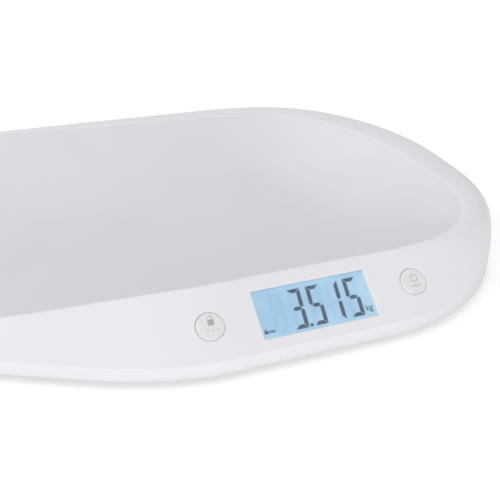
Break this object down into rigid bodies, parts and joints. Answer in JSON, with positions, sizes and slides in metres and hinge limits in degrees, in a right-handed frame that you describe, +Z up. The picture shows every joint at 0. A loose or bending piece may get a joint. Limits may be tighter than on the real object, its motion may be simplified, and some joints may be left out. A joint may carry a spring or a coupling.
{
  "type": "digital baby scale",
  "caption": "Digital baby scale: a long dished tray shell with a sloped display and button panel, on a flat base with load cell feet and a battery bay.",
  "frame": {"origin": "on the ground, under the middle of the scale's outline", "axes": "+X along the length towards the end with the control panel, -Y towards the front, +Z up"},
  "size_m": [0.5659, 0.308, 0.0483],
  "materials": {
    "white_abs": "satin white ABS moulding",
    "base_abs": "fine-textured white ABS",
    "button_abs": "satin white ABS",
    "clear_acrylic": "clear, polished",
    "display_glass": "polished",
    "light_guide": "polished",
    "frame_plastic": "moulded",
    "board_green": "solder mask",
    "chip_black": "moulded epoxy",
    "switch_black": "moulded",
    "cell_steel": "ground spring steel",
    "spring_steel": "nickel plated",
    "foot_rubber": "matt",
    "battery_jacket": "printed sleeve",
    "wire_sleeve": "extruded sleeve"
  },
  "bodies": {
    "housing": {"top_shell": "white_abs", "bottom_cover": "base_abs", "foot_1": "base_abs", "foot_2": "base_abs", "foot_3": "base_abs", "foot_4": "base_abs", "window_lens": "clear_acrylic", "lcd_glass": "display_glass", "backlight_panel": "light_guide", "lcd_frame": "frame_plastic", "cell_bracket_1": "frame_plastic", "cell_bracket_2": "frame_plastic", "cell_bracket_3": "frame_plastic", "cell_bracket_4": "frame_plastic", "main_board": "board_green", "unit_board": "board_green", "controller_chip": "chip_black", "buzzer": "chip_black", "hold_switch_body": "switch_black", "tare_switch_body": "switch_black", "unit_switch_body": "switch_black", "load_cell_1": "cell_steel", "load_cell_2": "cell_steel", "load_cell_3": "cell_steel", "load_cell_4": "cell_steel", "battery_contact_1": "spring_steel", "battery_contact_2": "spring_steel", "battery_contact_3": "spring_steel", "battery_contact_4": "spring_steel", "battery_contact_5": "spring_steel", "housing_screw_1": "spring_steel", "housing_screw_2": "spring_steel", "housing_screw_3": "spring_steel", "housing_screw_4": "spring_steel", "housing_screw_5": "spring_steel", "housing_screw_6": "spring_steel", "housing_screw_7": "spring_steel", "board_screw_1": "spring_steel", "board_screw_2": "spring_steel", "foot_pad_1": "foot_rubber", "foot_pad_2": "foot_rubber", "foot_pad_3": "foot_rubber", "foot_pad_4": "foot_rubber", "battery_1": "battery_jacket", "battery_2": "battery_jacket", "battery_3": "battery_jacket", "battery_4": "battery_jacket", "cell_wire_1": "wire_sleeve", "cell_wire_2": "wire_sleeve", "cell_wire_3": "wire_sleeve", "cell_wire_4": "wire_sleeve", "battery_lead": "wire_sleeve", "unit_lead": "wire_sleeve"},
    "hold_button": {"hold_button_cap": "button_abs", "hold_switch_plunger": "switch_black"},
    "tare_button": {"tare_button_cap": "button_abs", "tare_switch_plunger": "switch_black"},
    "unit_button": {"unit_button_cap": "button_abs", "unit_switch_plunger": "switch_black"},
    "battery_door": {"battery_door": "base_abs"}
  },
  "joints": [
    {"name": "hold_button_press", "type": "slide", "parent": "housing", "child": "hold_button", "axis": [0.0396, 0.5721, -0.8192], "range_m": [0, 0.0005], "stiffness_N_per_m": 1500, "springref_m": -0.0002},
    {"name": "tare_button_press", "type": "slide", "parent": "housing", "child": "tare_button", "axis": [0.0103, 0.6203, -0.7843], "range_m": [0, 0.0005], "stiffness_N_per_m": 1500, "springref_m": -0.0002},
    {"name": "unit_button_press", "type": "slide", "parent": "housing", "child": "unit_button", "axis": [0, 0, 1], "range_m": [0, 0.0005], "stiffness_N_per_m": 1500, "springref_m": -0.0002},
    {"name": "battery_door_hinge", "type": "hinge", "parent": "housing", "child": "battery_door", "pos_m": [0.08999, -0.10741, 0.0048], "axis": [-1, 0, 0], "range_deg": [0, 95]}
  ]
}
